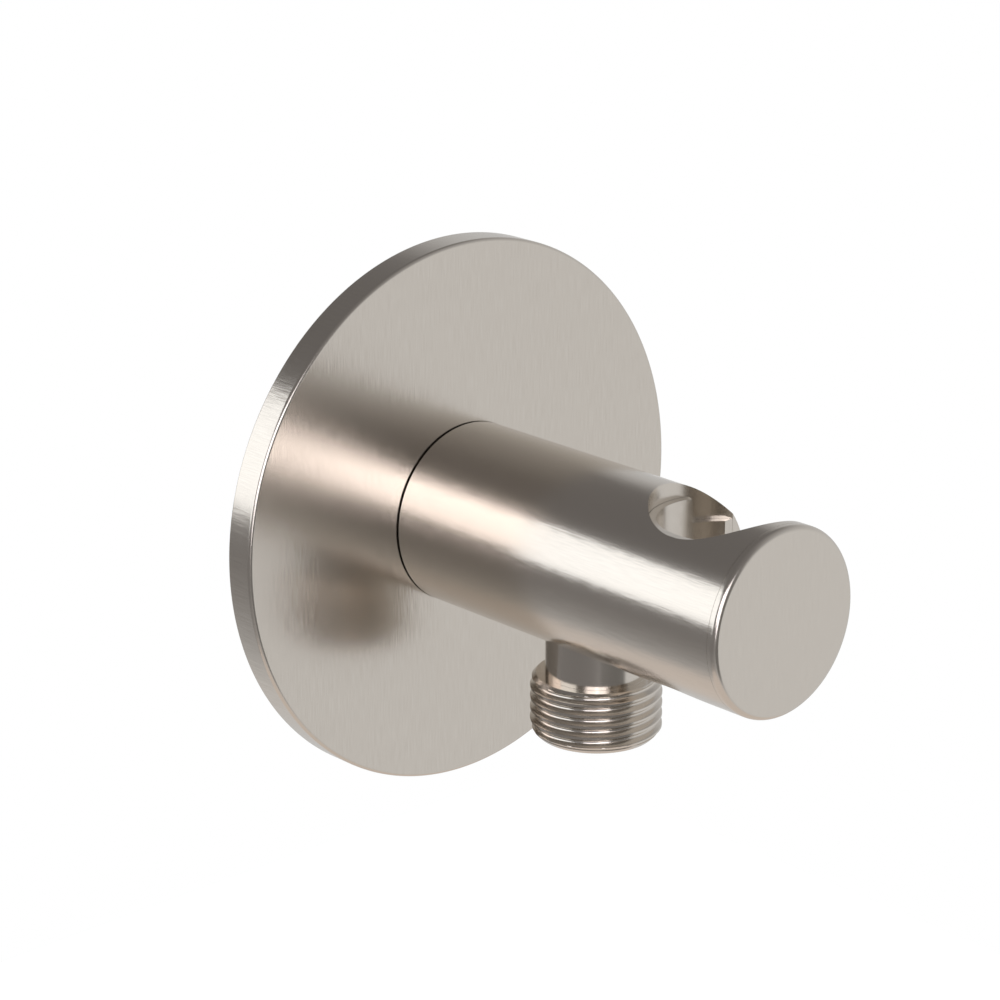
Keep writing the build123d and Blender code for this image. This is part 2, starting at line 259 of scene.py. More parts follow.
tone = mix_node(room, "RGBA", round_patch(table_toward, outer=48, inner=40), tone, table_tone)
front_board = round_patch(front_board_toward, outer=32, inner=27)
tone = mix_node(room, "RGBA", front_board, tone, front_board_tone)
ray = add_node(room, "ShaderNodeLightPath")
mirrored = math_node(
    room, "ADD", ray.outputs["Is Glossy Ray"], ray.outputs["Is Transmission Ray"], clamp=True
)
backdrop = math_node(room, "MULTIPLY", mirrored, round_patch(backdrop_toward, outer=14, inner=6))
white = math_node(room, "MAXIMUM", ray.outputs["Is Camera Ray"], backdrop)
seen = mix_node(room, "RGBA", white, tone, backdrop_tone)
background = add_node(room, "ShaderNodeBackground", {"Color": seen, "Strength": 1.0})
add_node(room, "ShaderNodeOutputWorld", {"Surface": background.outputs[0]})
print("backdrop toward", [round(v, 2) for v in backdrop_toward])

# %% [markdown]
# ## Softboxes
# Three large softboxes stand on the left: one behind the wall plane, and two side by side in front
# of it. The first gives the arm its long highlight, and the plate mirrors the front ones onto the
# arm's root. They are area lamps and not patches of the world, because a lamp has crisp edges in
# the metal and also casts the soft shadow.

# %% Softboxes
front_tint = (0.98, 0.95, 1.0)
wall_side_tint = (0.934, 0.967, 1.0)


def softbox(name, heading, height, wide, high, brightness, tint, roll=0.0, distance=1.1):
    """An area lamp seen from the part at a heading (degrees from +X) and height (degrees up).

    Its sides are 2 d tan(w / 2) for an angular width w at the distance d, and its power is the
    wanted brightness times pi times its area. The roll turns it about the line from the part, in
    degrees."""
    a, b = math.radians(heading), math.radians(height)
    direction = Vector((math.cos(b) * math.cos(a), math.cos(b) * math.sin(a), math.sin(b)))
    data = bpy.data.lights.new(name, "AREA")
    data.shape = "RECTANGLE"
    data.size = 2 * distance * math.tan(math.radians(wide) / 2)
    data.size_y = 2 * distance * math.tan(math.radians(high) / 2)
    data.energy = brightness * math.pi * data.size * data.size_y
    data.color = tint
    lamp = bpy.data.objects.new(name, data)
    bpy.context.scene.collection.objects.link(lamp)
    lamp.location = direction * distance
    upright = direction.to_track_quat("Z", "Y")
    lamp.rotation_euler = (upright @ Quaternion((0.0, 0.0, 1.0), math.radians(roll))).to_euler()
    lamp.visible_camera = False
    print(name, "measures", round(data.size, 2), "x", round(data.size_y, 2), "m")


softbox(
    "softbox_wall_side", heading=150, height=15.0, wide=60, high=36.1, brightness=1.45,
    tint=wall_side_tint,
)
softbox(
    "softbox_front", heading=217.5, height=17.0, wide=24, high=31.0, brightness=2.40,
    tint=front_tint,
)
softbox(
    "softbox_front_right", heading=239.5, height=11.0, wide=21, high=42.0, brightness=2.40,
    tint=front_tint, roll=5,
)

# %% [markdown]
# ## Floor
# The part hangs on a wall, so the floor is well below it. It is plain and pale. To the camera a
# little light of its own lifts it to the white of the backdrop, and the part's soft shadow stays.
# Its underside is clear, so a view from below shows the part.

# %% Floor
floor_height = -0.30
floor_reach = 0.42
floor_pale, floor_paler = (0.80, 0.80, 0.80, 1), (0.82, 0.82, 0.82, 1)
glow_to_all, glow_to_camera = 0.26, 0.52

floor_mesh = bpy.data.meshes.new("floor")
floor_corners = [(-1, -1), (1, -1), (1, 1), (-1, 1)]
floor_mesh.from_pydata(
    [(x * floor_reach, y * floor_reach, floor_height) for x, y in floor_corners], [], [(0, 1, 2, 3)]
)
floor = bpy.data.objects.new("floor", floor_mesh)
bpy.context.scene.collection.objects.link(floor)
floor_finish, tree = new_finish("pale_floor")
spot = add_node(tree, "ShaderNodeTexCoord").outputs["Object"]
cloud = add_node(tree, "ShaderNodeTexNoise", {"Vector": spot, "Scale": 9.0, "Detail": 2.0})
pale = mix_node(tree, "RGBA", cloud.outputs[0], floor_pale, floor_paler)
matt = add_node(tree, "ShaderNodeBsdfDiffuse", {"Color": pale})
ray = add_node(tree, "ShaderNodeLightPath")
lift = math_node(tree, "MULTIPLY_ADD", ray.outputs["Is Camera Ray"], glow_to_camera, glow_to_all)
glow = add_node(tree, "ShaderNodeEmission", {"Strength": lift})
both = add_node(tree, "ShaderNodeAddShader", {0: matt.outputs[0], 1: glow.outputs[0]})
below = add_node(tree, "ShaderNodeNewGeometry").outputs["Backfacing"]
clear = add_node(tree, "ShaderNodeBsdfTransparent")
one_sided = add_node(tree, "ShaderNodeMixShader", {0: below, 1: both.outputs[0], 2: clear.outputs[0]})
add_node(tree, "ShaderNodeOutputMaterial", {"Surface": one_sided.outputs[0]})
floor_mesh.materials.append(floor_finish)
floor.visible_glossy = False
print("floor", round(2 * floor_reach, 2), "m wide at", floor_height, "m")

# %% [markdown]
# ## The grain of brushed metal
# Brushing leaves fine straight scratches. Each one tilts the surface a little to its own side, so
# a mirrored edge breaks up into short lines and smears across the scratches but not along them.
# A texture of the height would need a bump map at a very fine scale. It is simpler to tilt the
# normal itself: noise that is narrow across the lines and long along them gives the tilt, and
# the tilt goes in the one direction across the lines.

# %% Grain group
def grain_group():
    """Normal = N + across * (fine + broad), both noises centred on zero, made unit length again."""
    tree, given, result = new_group(
        "brushed_grain",
        [
            ("Pattern", "NodeSocketVector", None),
            ("Across", "NodeSocketVector", None),
            ("Fine Tilt", "NodeSocketFloat", 0.1),
            ("Broad Tilt", "NodeSocketFloat", 0.03),
        ],
        [("Normal", "NodeSocketVector"), ("Lines", "NodeSocketFloat")],
    )
    fine, broad = (
        add_node(
            tree, "ShaderNodeTexNoise",
            {"Vector": given.outputs["Pattern"], "Scale": scale, "Detail": 1.0, "Roughness": 0.5},
        ).outputs[0]
        for scale in (1.0, 0.28)
    )
    fine_part = math_node(tree, "SUBTRACT", fine, 0.5)
    broad_part = math_node(tree, "SUBTRACT", broad, 0.5)
    fine_tilt = math_node(tree, "MULTIPLY", fine_part, given.outputs["Fine Tilt"])
    tilt = math_node(tree, "MULTIPLY_ADD", broad_part, given.outputs["Broad Tilt"], fine_tilt)
    normal = add_node(tree, "ShaderNodeNewGeometry").outputs["Normal"]
    push = add_node(
        tree, "ShaderNodeVectorMath", {0: given.outputs["Across"], "Scale": tilt}, operation="SCALE"
    ).outputs["Vector"]
    leaned = vector_node(tree, "NORMALIZE", vector_node(tree, "ADD", normal, push))
    tree.links.new(leaned, result.inputs["Normal"])
    tree.links.new(fine, result.inputs["Lines"])
    return tree


brushed_grain = grain_group()
print("group", brushed_grain.name)

# %% [markdown]
# ## Where the grain runs
# On the plate and on the arm's end face the lines are vertical. Round the arm and round the plate's
# rim they run along the arm's axis. A face is told from a side by its normal: where the normal
# points along Y it is a face. The pattern's place is squeezed across the lines and stretched along
# them, and on a side the noise is read in space, so that it closes round the bar without a seam.

# %% Direction group
side_below, face_above = 0.55, 0.85


def grain_direction_group():
    """Gives the squeezed place and the direction across the lines for faces and for sides.

    Face rises from 0 to 1 while the normal's share along Y goes from side_below to face_above. The
    place is divided by the line's width across it and by its length along it. Across is X on a
    face, and on a side the cross product of the normal and the arm's axis."""
    tree, given, result = new_group(
        "grain_direction",
        [
            ("Line Width", "NodeSocketFloat", 0.0003),
            ("Line Length", "NodeSocketFloat", 0.006),
        ],
        [("Pattern", "NodeSocketVector"), ("Across", "NodeSocketVector"), ("Face", "NodeSocketFloat")],
    )
    place = add_node(tree, "ShaderNodeTexCoord").outputs["Object"]
    normal = add_node(tree, "ShaderNodeNewGeometry").outputs["Normal"]
    normal_parts = add_node(tree, "ShaderNodeSeparateXYZ", {0: normal})
    along_y = math_node(tree, "ABSOLUTE", normal_parts.outputs["Y"])
    face = smooth_step(tree, along_y, side_below, face_above)
    narrow = math_node(tree, "DIVIDE", 1.0, given.outputs["Line Width"])
    long = math_node(tree, "DIVIDE", 1.0, given.outputs["Line Length"])
    on_side = add_node(tree, "ShaderNodeCombineXYZ", {"X": narrow, "Y": long, "Z": narrow})
    on_face = add_node(tree, "ShaderNodeCombineXYZ", {"X": narrow, "Y": 0.0, "Z": long})
    squeeze = mix_node(tree, "VECTOR", face, on_side.outputs[0], on_face.outputs[0])
    round_the_bar = vector_node(
        tree, "NORMALIZE", vector_node(tree, "CROSS_PRODUCT", normal, (0.0, 1.0, 0.0))
    )
    across = mix_node(tree, "VECTOR", face, round_the_bar, (1.0, 0.0, 0.0))
    pattern = vector_node(tree, "MULTIPLY", place, squeeze)
    tree.links.new(pattern, result.inputs["Pattern"])
    tree.links.new(across, result.inputs["Across"])
    tree.links.new(face, result.inputs["Face"])
    return tree


grain_direction = grain_direction_group()
print("group", grain_direction.name)

# %% [markdown]
# ## Brushed nickel
# Nickel is a warm grey metal. The Principled shader with full Metallic takes the mirrored light and
# tints it with the base colour. The lines also vary the colour and the roughness by a few percent,
# because a scratched track is a little duller than the ground beside it. The arm's lines are
# quieter than the plate's.

# %% Brushed nickel
nickel_pale = (0.690, 0.643, 0.585)
nickel_deep = (0.655, 0.608, 0.550)
arm_pale = (0.682, 0.634, 0.575)
arm_deep = (0.663, 0.617, 0.560)
colour_from, colour_to = 0.25, 0.75
roughness_from, roughness_to = 0.3, 0.7


def shader_on(tree, inputs):
    """The Principled shader with those inputs, as the surface of the finish."""
    shader = add_node(tree, "ShaderNodeBsdfPrincipled", inputs)
    add_node(tree, "ShaderNodeOutputMaterial", {"Surface": shader.outputs[0]})


def brushed_nickel(name, width, length, face_tilt, side_tilt, broad_share, dull, smooth, deep, pale):
    """Nickel whose lines are width wide and length long, with a tilt for faces and one for sides.

    The broad lines tilt the surface by broad_share of what the fine ones do. While the lines' value
    rises, the roughness goes from dull to smooth and the colour from deep to pale."""
    finish, tree = new_finish(name)
    course = add_node(
        tree, "ShaderNodeGroup", {"Line Width": width, "Line Length": length}, node_tree=grain_direction
    )
    tilt = mix_node(tree, "FLOAT", course.outputs["Face"], side_tilt, face_tilt)
    grain = add_node(
        tree, "ShaderNodeGroup",
        {
            "Pattern": course.outputs["Pattern"], "Across": course.outputs["Across"],
            "Fine Tilt": tilt, "Broad Tilt": math_node(tree, "MULTIPLY", tilt, broad_share),
        },
        node_tree=brushed_grain,
    )
    lines = grain.outputs["Lines"]
    pale_share = smooth_step(tree, lines, colour_from, colour_to)
    shader_on(tree, {
        "Base Color": mix_node(tree, "RGBA", pale_share, (*deep, 1), (*pale, 1)),
        "Metallic": 1.0,
        "Roughness": smooth_step(tree, lines, roughness_from, roughness_to, dull, smooth),
        "Normal": grain.outputs["Normal"],
    })
    return finish


plate_nickel = brushed_nickel(
    "brushed_nickel_plate", width=0.12e-3, length=4.0e-3, face_tilt=0.10, side_tilt=0.10,
    broad_share=0.12, dull=0.222, smooth=0.195, deep=nickel_deep, pale=nickel_pale,
)
arm_nickel = brushed_nickel(
    "brushed_nickel_arm", width=0.14e-3, length=3.5e-3, face_tilt=0.03, side_tilt=0.08,
    broad_share=0.3, dull=0.22, smooth=0.19, deep=arm_deep, pale=arm_pale,
)
print("finishes:", plate_nickel.name, arm_nickel.name)

# %% [markdown]
# ## Satin nickel and the inner finishes
# The cradle's lining and the outlet are satin: the same nickel with no clear lines, only a fine
# cloud in the roughness. The pieces inside are raw brass, stainless steel, black rubber and moulded
# plastic. One function makes them all from a cloud between two colours and two roughnesses.

# %% Clouded finishes
bump_share = 0.2


def clouded(name, colours, roughnesses, grain_size, metallic=0.0, bump=0.0):
    """A finish whose colour and roughness drift between two values with a noise of that grain.

    With a bump, the same noise also raises the surface, by bump_share of the grain at the most."""
    finish, tree = new_finish(name)
    place = add_node(tree, "ShaderNodeTexCoord").outputs["Object"]
    cloud = add_node(
        tree, "ShaderNodeTexNoise",
        {"Vector": place, "Scale": 1.0 / grain_size, "Detail": 3.0, "Roughness": 0.55},
    ).outputs[0]
    inputs = {
        "Base Color": mix_node(tree, "RGBA", cloud, (*colours[0], 1), (*colours[1], 1)),
        "Metallic": metallic,
        "Roughness": smooth_step(tree, cloud, roughness_from, roughness_to, *roughnesses),
    }
    if bump:
        inputs["Normal"] = add_node(
            tree, "ShaderNodeBump",
            {"Height": cloud, "Strength": bump, "Distance": grain_size * bump_share},
        ).outputs[0]
    shader_on(tree, inputs)
    return finish


satin_nickel = clouded(
    "satin_nickel", [nickel_deep, nickel_pale], roughnesses=(0.20, 0.17), grain_size=0.9e-3,
    metallic=1.0,
)
cradle_nickel = clouded(
    "satin_nickel_cradle", [nickel_deep, nickel_pale], roughnesses=(0.24, 0.20), grain_size=1.2e-3,
    metallic=1.0,
)
raw_brass = clouded(
    "turned_brass", [(0.72, 0.56, 0.28), (0.80, 0.64, 0.34)], roughnesses=(0.28, 0.20),
    grain_size=1.5e-3, metallic=1.0,
)
stainless = clouded(
    "stainless_steel", [(0.48, 0.47, 0.45), (0.54, 0.53, 0.51)], roughnesses=(0.32, 0.24),
    grain_size=0.8e-3, metallic=1.0,
)
spring_wire = clouded(
    "drawn_spring_wire", [(0.58, 0.58, 0.58), (0.64, 0.64, 0.64)], roughnesses=(0.26, 0.20),
    grain_size=0.4e-3, metallic=1.0,
)
rubber = clouded(
    "black_rubber", [(0.030, 0.030, 0.030), (0.045, 0.044, 0.043)], roughnesses=(0.72, 0.60),
    grain_size=0.8e-3, bump=0.4,
)
moulded_white = clouded(
    "moulded_off_white", [(0.80, 0.79, 0.75), (0.84, 0.83, 0.80)], roughnesses=(0.50, 0.42),
    grain_size=1.2e-3, bump=0.1,
)
moulded_blue = clouded(
    "moulded_blue_grey", [(0.18, 0.27, 0.46), (0.22, 0.32, 0.52)], roughnesses=(0.50, 0.40),
    grain_size=1.2e-3, bump=0.1,
)
print("finishes in all:", len(bpy.data.materials))

# %% [markdown]
# ## The pipe thread
# The CAD solid has plain cylinders where the screw threads are. A G 1/2 thread rises 1.814 mm in
# each turn, and its flanks include 55 degrees. Here it has a flat crest and a round root. It could
# be cut with a helical sweep and a boolean, which gives a heavy mesh. But the threaded surface is
# also a height map round a cylinder: the radius follows from the distance to the nearest crest. The
# largest radius is the one that the record states for the outlet.

# %% Thread form
mounts = {mount["name"]: mount for mount in frame["record"]["mounts"]}
pitch = 1.814e-3
major_radius = mounts["hose_outlet"]["dims"]["r_mm"] * 1e-3
crest_half = 0.19e-3
root_round = 0.42e-3
flank_lean = math.radians(62.5)
flank_end = pitch / 2 - root_round * math.sin(flank_lean)


def thread_radius(distance):
    """Radius at an axial distance d from the middle of the nearest crest, as an array.

    Flat to crest_half, then falling by tan(flank_lean) for each unit of d, then a round root of
    root_round whose ends lean as the flanks do."""
    d = np.abs(distance)
    on_flank = major_radius - (d - crest_half) * math.tan(flank_lean)
    root_edge = major_radius - (flank_end - crest_half) * math.tan(flank_lean)
    centre = root_edge + root_round * math.cos(flank_lean)
    on_root = centre - np.sqrt(np.maximum(root_round**2 - (pitch / 2 - d)**2, 0))
    return np.where(d < crest_half, major_radius, np.where(d > flank_end, on_root, on_flank))


def rows_in_a_turn():
    """Distances from a crest's middle, one pitch long, close together at the edges and in the root."""
    edge = 0.02e-3
    crest = np.linspace(0, crest_half - edge, 5)
    flank = np.linspace(crest_half + edge, flank_end, 6)
    lean = np.linspace(flank_lean, 0, 6)[1:]
    root = pitch / 2 - root_round * np.sin(lean)
    half = np.concatenate([crest, flank, root])
    return np.concatenate([half, pitch - half[1:-1][::-1]])


thread_depth = float(major_radius - thread_radius(np.array([pitch / 2]))[0])
print("thread depth", round(thread_depth * 1000, 2), "mm, rows in a turn:", len(rows_in_a_turn()))

# %% [markdown]
# ## Rows of a turned piece
# A turned piece is a closed outline carried round an axis. The outline's points are the rows of the
# grid and the angles its columns. In the thread the rows climb one pitch per turn, so that every
# edge of the thread runs along a row. Where they leave the thread's length they are held at its
# ends. A screw modifier also carries an outline round, but then all of it climbs, not only the thread.

# %% Rows of the grid
no_thread = dict(crest=0, handed=1, first=0, last=0, chamfer_first=0, chamfer_last=0)


def thread_rows(thread):
    """Rows for a thread from its first to its last station, with a crest's middle at crest.

    The rows reach a pitch further at the end from which they climb in."""
    first, last, crest = thread["first"], thread["last"], thread["crest"]
    margin = 0.1e-3
    low, high = (first, last + pitch) if thread["handed"] < 0 else (first - pitch, last)
    turns = np.arange(math.floor((low - crest) / pitch) - 1, math.ceil((high - crest) / pitch) + 1)
    stations = (crest + turns[:, None] * pitch + rows_in_a_turn()[None, :]).ravel()
    inside = (stations > low - margin) & (stations < high + margin)
    return [(major_radius, float(v), "thread") for v in stations[inside]]


def threaded_radius(thread, rise, held):
    """The least of the thread's form and its two 45 degree chamfers at the held stations."""
    form = thread_radius((held - thread["crest"] - rise + pitch / 2) % pitch - pitch / 2)
    room_first = held - thread["first"] - thread["chamfer_first"]
    room_last = thread["last"] - held - thread["chamfer_last"]
    return np.minimum(form, major_radius + np.minimum(np.minimum(room_first, room_last), 0))


def rows_round_axis(outline, thread, ring_start, hexagon, columns):
    """Radius, angle and station of each point, for an outline of rows (radius, station, kind).

    A plain row keeps its radius and station. A thread row's station rises by handed * pitch *
    angle / turn, held between first and last. Ring rows keep their share of the way from
    ring_start to the thread's top edge. Hexagon rows: radius = hexagon / cos(angle from the middle
    of the side), where hexagon is half the width across the flats."""
    angle = np.linspace(0, 2 * math.pi, columns + 1)[None, :]
    radius, station = (
        np.repeat(np.array([row[k] for row in outline])[:, None], columns + 1, axis=1) for k in (0, 1)
    )
    kind = np.array([row[2] for row in outline])
    rise = thread["handed"] * pitch * angle / (2 * math.pi)
    on_thread, on_ring = kind == "thread", kind == "ring"
    held = np.clip(station[on_thread] + rise, thread["first"], thread["last"])
    station[on_thread] = held
    radius[on_thread] = threaded_radius(thread, rise, held)
    share = (radius[on_ring] - ring_start) / (major_radius - thread["chamfer_first"] - ring_start)
    top_edge = threaded_radius(thread, rise, np.full_like(rise, thread["first"]))
    radius[on_ring] = ring_start + share * (top_edge - ring_start)
    from_middle = (angle % (math.pi / 3)) - math.pi / 6
    radius[kind == "hexagon"] = hexagon / np.cos(from_middle)
    return radius, angle, station


print("rows ready")

# %% [markdown]
# ## From rows to a closed mesh
# Each face joins two neighbouring rows and two neighbouring columns. The last column lies on the
# first, and held rows lie on each other, so points that coincide are merged: that closes the seam.
# An outline either closes on itself, or begins and ends on the axis, where each end becomes a pole.

# %% Closed grid
merge_within = 1e-7
sharp_angle = math.radians(32)


def closed_grid(name, points, has_poles):
    """A mesh object from points as an array of rows, columns and places.

    The volume is the sum of a . (b x c) / 6 over the triangles of the faces. It is negative where
    the faces look inwards, and then they are turned round."""
    rows, wide = points.shape[:2]
    points = points.reshape(-1, 3)
    bands = rows - 1 if has_poles else rows
    i, j = np.meshgrid(np.arange(bands), np.arange(wide - 1), indexing="ij")
    after = (i + 1) % rows
    faces = np.stack([i * wide + j, after * wide + j, after * wide + j + 1, i * wide + j + 1], axis=-1)
    faces = faces.reshape(-1, 4)
    a, b, c, d = (points[faces[:, k]] for k in range(4))
    triple = np.einsum("ij,ij->i", a, np.cross(b, c)) + np.einsum("ij,ij->i", a, np.cross(c, d))
    volume = triple.sum() / 6
    if volume < 0:
        faces = faces[:, ::-1]
    mesh = bpy.data.meshes.new(name)
    mesh.from_pydata(points.tolist(), [], faces.tolist())
    shell = bmesh.new()
    shell.from_mesh(mesh)
    bmesh.ops.remove_doubles(shell, verts=shell.verts, dist=merge_within)
    open_edges = sum(1 for e in shell.edges if len(e.link_faces) != 2)
    shell.to_mesh(mesh)
    shell.free()
    mesh.shade_smooth()
    mesh.set_sharp_from_angle(angle=sharp_angle)
    piece = bpy.data.objects.new(name, mesh)
    bpy.context.scene.collection.objects.link(piece)
    content = round(abs(volume) * 1e9)
    print(name, len(mesh.polygons), "faces, open edges", open_edges, "volume", content, "mm3")
    return piece


def turned_piece(name, outline, to_space, thread=no_thread, ring_start=0.0, hexagon=0.0, columns=240):
    """The outline carried round an axis: place = to_space(radius, angle, station)."""
    radius, angle, station = rows_round_axis(outline, thread, ring_start, hexagon, columns)
    return closed_grid(name, to_space(radius, angle, station), has_poles=outline[0][0] == 0)


print("closed grid ready")

# %% [markdown]
# ## Corners that catch the light
# No real corner is sharp. A turned piece has a round of about a tenth of a millimetre at each one.
# The outline is a list of corners, and each becomes a short curve between its two legs. A bevel
# modifier could round the mesh instead, but it is less work to round the outline once. A support
# point just beyond the curve keeps the smooth shading from spreading over the flat faces.

# %% Soft corners
corner_reach = 0.10e-3
leg_share = 3.3
support_reach = 1.6
curve_steps = (0.0, 0.35, 0.65, 1.0)


def softened(corners):
    """Each inner corner c becomes B(t) = (1-t)^2 a + 2t(1-t) c + t^2 b, with a and b on its two legs.

    They lie corner_reach from the corner, or the leg's length over leg_share where that is less.
    A support point lies at support_reach times that."""
    points = np.array(corners, float)
    legs = np.diff(points, axis=0)
    lengths = np.linalg.norm(legs, axis=1, keepdims=True)
    ways = legs / lengths
    room = np.minimum(corner_reach, lengths / leg_share)
    here = points[1:-1, None, :]
    back = here - ways[:-1, None, :] * room[:-1, None, :]
    ahead = here + ways[1:, None, :] * room[1:, None, :]
    t = np.array(curve_steps)[None, :, None]
    curve = (1 - t)**2 * back + 2 * t * (1 - t) * here + t**2 * ahead
    before = here - ways[:-1, None, :] * room[:-1, None, :] * support_reach
    after = here + ways[1:, None, :] * room[1:, None, :] * support_reach
    inner = np.concatenate([before, curve, after], axis=1).reshape(-1, 2)
    near_first = points[0] + ways[0] * room[0] * support_reach
    near_last = points[-1] - ways[-1] * room[-1] * support_reach
    return np.vstack([points[0], near_first, inner, near_last, points[-1]])


def plain_rows(corners_mm):
    """Plain rows in metres from corners (radius, station) in millimetres, softened."""
    return [(float(r), float(s), "plain") for r, s in softened(np.array(corners_mm) * 1e-3)]


print("a square corner becomes", len(softened([(0, 0), (1e-3, 0), (1e-3, 1e-3)])) - 4, "points")

# %% [markdown]
# ## Wall plate
# The plate is a turned disc with a round of 0.6 mm at its front edge, which draws a thin line all
# round it. The solid's facets are too coarse for that line, so the disc is turned again here with
# more columns. Its back has the relief and the groove for the flat seal, as the solid has. The
# overall sizes of each turned piece are read from the box of the node that it stands for.

# %% Wall plate
def box_mm(node):
    """The node's lowest and highest corners in millimetres, rounded to a hundredth."""
    return np.round(np.array(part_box(node)) * 1e3, 2).tolist()


plate_low, plate_high = box_mm("wall_plate")
plate_radius, plate_front = plate_high[0], -plate_low[1]
plate_round = 0.6
plate_columns = 360


def along_arm(radius, angle, station):
    """x = radius cos(angle), z = radius sin(angle), y = -station: a distance from the wall out."""
    x = radius * np.cos(angle)
    z = radius * np.sin(angle)
    return np.stack([x, -station, z], axis=-1)


def edge_round(radius_mm, front_mm, round_mm, steps=12):
    """Rows of a quarter circle from the front face to the side: (R - e + e sin t, F - e + e cos t)."""
    t = np.linspace(0, math.pi / 2, steps)
    rims = radius_mm - round_mm + round_mm * np.sin(t)
    stations = front_mm - round_mm + round_mm * np.cos(t)
    return [(float(r) * 1e-3, float(s) * 1e-3, "plain") for r, s in zip(rims, stations)]


# In mm, from the side over the back (seal groove, relief) and the arm's hole to the front face.
plate_inner = plain_rows([
    (plate_radius, 4.4), (plate_radius, 0.0), (43.0, 0.0), (43.0, 1.0), (40.5, 1.0), (40.5, 0.0),
    (39.0, 0.0), (39.0, 1.6), (16.05, 1.6), (16.05, 0.0), (12.65, 0.0), (12.65, 4.8),
    (12.95, plate_front), (44.3, plate_front),
])
plate = turned_piece(
    "wall_plate_turned", plate_inner + edge_round(plate_radius, plate_front, plate_round),
    along_arm, columns=plate_columns,
)
plate.data.materials.append(plate_nickel)
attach(plate, "fitting")
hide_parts("wall_plate")

# %% [markdown]
# ## Arm
# The arm's free end has a round of about 1 mm, which shows as a soft double line. A bevel on the
# solid's loose triangles would be ragged. So a copy of the arm is merged and ends flat a little
# before the round, and a turned end piece with the round follows it face to face.

# %% Merged copies
def merged_copy(node):
    """The node's places, triangles and corner normals, with equal places merged into one vertex.

    Places are equal where they round to the same 0.1 micrometre. A triangle that collapses by it
    is left out."""
    source = node.data
    places = np.empty(len(source.vertices) * 3)
    source.vertices.foreach_get("co", places)
    corners = np.empty(len(source.loops), dtype=np.int64)
    source.loops.foreach_get("vertex_index", corners)
    normals = np.array([n.vector[:] for n in source.corner_normals])
    places, index = np.unique(np.round(places.reshape(-1, 3), 7), axis=0, return_inverse=True)
    triangles = index.ravel()[corners].reshape(-1, 3)
    a, b, c = triangles.T
    kept = (a != b) & (b != c) & (c != a)
    print(node.name, "has", int((~kept).sum()), "collapsed triangles")
    return places, triangles[kept], normals.reshape(-1, 3, 3)[kept]


def build_copy(name, places, triangles, normals):
    """A mesh object from what merged_copy gave, with the normals put back at each corner."""
    mesh = bpy.data.meshes.new(name)
    mesh.from_pydata(places.tolist(), [], triangles.tolist())
    mesh.shade_smooth()
    mesh.normals_split_custom_set(normals.reshape(-1, 3).tolist())
    piece = bpy.data.objects.new(name, mesh)
    bpy.context.scene.collection.objects.link(piece)
    return piece


print("copies ready")

# %% [markdown]
# ## Where the arm is cut
# The solid's own round is 0.7 mm. Every vertex from a little before it moves back to the flat end.
# Triangles that lie wholly there make the end's face, so their normals point along the arm. Other
# corners there are on the arm's side, and their normals point away from its axis.

# %% Arm with a flat end
arm_low, arm_high = box_mm("holder_body")
arm_radius, arm_front = arm_high[2], -arm_low[1]
cap_depth, cut_before_front = 1.6, 0.8
flat_end = arm_front - cap_depth

arm_places, arm_triangles, arm_normals = merged_copy(nodes["holder_body"])
beyond = arm_places[:, 1] < -(arm_front - cut_before_front) * 1e-3
arm_places[beyond, 1] = -flat_end * 1e-3
corner_beyond = beyond[arm_triangles]
whole = corner_beyond.all(axis=1)
arm_normals[whole] = (0.0, -1.0, 0.0)
outward = arm_places[arm_triangles] * (1.0, 0.0, 1.0)
outward /= np.maximum(np.linalg.norm(outward, axis=-1, keepdims=True), 1e-9)
on_side = corner_beyond & ~whole[:, None]
arm_normals[on_side] = outward[on_side]
arm = build_copy("arm_body", arm_places, arm_triangles, arm_normals)
arm.data.materials.append(arm_nickel)
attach(arm, "fitting")
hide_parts("holder_body")
print("arm:", len(arm_places), "vertices,", int(beyond.sum()), "brought back to the flat end")

# %% [markdown]
# ## Arm end
# The end piece is a shallow disc: the front face, the round, a short stretch of the arm's side and
# a flat back against the arm's flat end. Its outline begins and ends on the axis, so the turned
# grid closes it with two poles.

# %% Arm end
arm_round = 1.0

end_back = plain_rows([(arm_radius, flat_end + 0.5), (arm_radius, flat_end), (0.0, flat_end)])
end_front = [(radius * 1e-3, arm_front * 1e-3, "plain") for radius in (0.0, 6.0, 13.9)]
arm_end = turned_piece(
    "arm_end", end_front + edge_round(arm_radius, arm_front, arm_round) + end_back, along_arm
)
arm_end.data.materials.append(arm_nickel)
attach(arm_end, "fitting")

# %% [markdown]
# ## Valve spring
# The spring stands on the valve's guide and is pressed together when the water opens the poppet. A
# merged copy of its solid takes its place, with a mesh of its own.

# %% Valve spring
outlet_axis_y = mounts["hose_outlet"]["pos_m"][1]

coil_places, coil_triangles, coil_normals = merged_copy(nodes["valve_spring"])
valve_spring = build_copy("valve_spring_coil", coil_places, coil_triangles, coil_normals)
valve_spring.data.materials.append(spring_wire)
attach(valve_spring, "fitting")
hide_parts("valve_spring")
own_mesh(valve_spring)

# %% [markdown]
# ## Hose outlet
# The outlet screws into the arm from below. A smooth neck ends on a flat ring, and the thread
# starts at the ring's edge. Its crests are flat and its roots are round. The bore widens below for
# the non-return valve. Neck, ring, thread and bore are one closed outline, so the turned grid makes
# them in one piece. The outline repeats the solid's own sizes.

# %% Hose outlet
outlet_low, outlet_high = box_mm("outlet_nipple")
outlet_top, outlet_foot = -outlet_high[2], -outlet_low[2]
outlet_thread = dict(
    crest=20.13e-3, handed=-1, first=19.12e-3, last=28.36e-3, chamfer_first=0.88e-3,
    chamfer_last=0.5275e-3,
)
neck_radius = 8.1
ring_height = 19.1
ring_radii = (8.12, 8.5, 8.9, 9.2, 9.5, 9.57)


